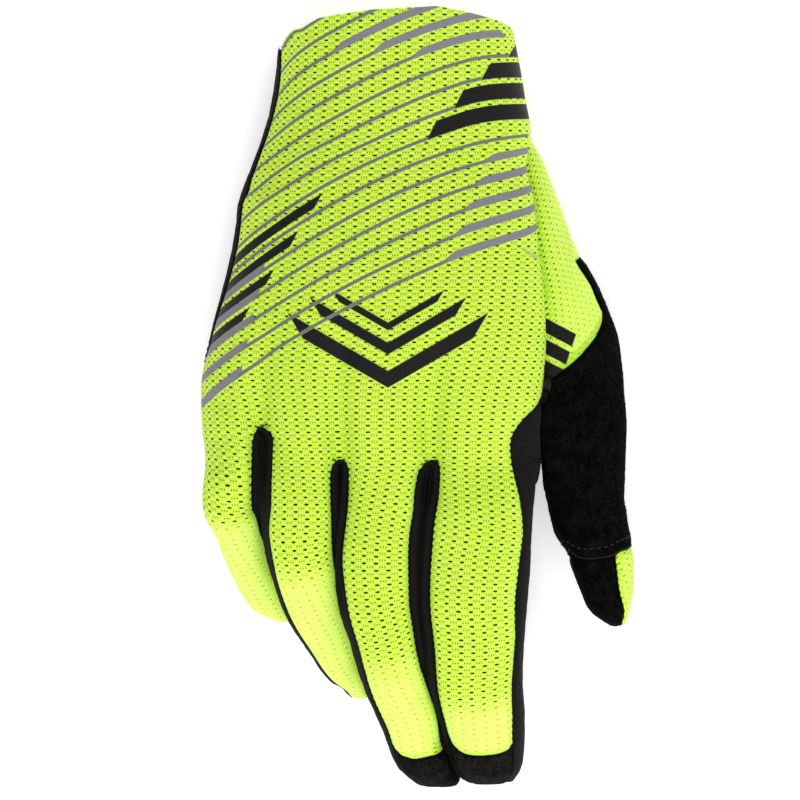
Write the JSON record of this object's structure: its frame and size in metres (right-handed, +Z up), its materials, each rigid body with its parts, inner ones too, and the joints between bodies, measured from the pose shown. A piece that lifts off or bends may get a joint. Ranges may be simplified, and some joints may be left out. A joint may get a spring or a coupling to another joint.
{
  "type": "motocross glove",
  "caption": "Right-hand motocross glove with a neon yellow-green mesh back, grey diagonal stripes, black suede palm and fingertips, and a short cuff, filled as if worn.",
  "frame": {"origin": "bottom centre of the glove's bounding box, on the surface it lies on", "axes": "+Z up from the palm to the back of the hand, -Y along the fingers and +Y to the cuff, +X to the thumb"},
  "size_m": [0.1214, 0.2184, 0.047],
  "materials": {
    "yellow_mesh": "matte perforated knit",
    "black_suede": "matte synthetic suede",
    "perforated_suede": "matte perforated synthetic suede",
    "black_stretch": "matte stretch knit"
  },
  "bodies": {
    "root": {"back_panel": "yellow_mesh", "thumb_side_panel": "yellow_mesh", "thumb_back": "yellow_mesh", "palm_panel": "black_suede", "thumb_overlay": "perforated_suede", "thumb_tip": "black_suede", "fourchette_pinky_ring": "black_stretch", "fourchette_ring_middle": "black_stretch", "fourchette_middle_index": "black_stretch", "index_side_gusset": "black_stretch"}
  },
  "joints": []
}
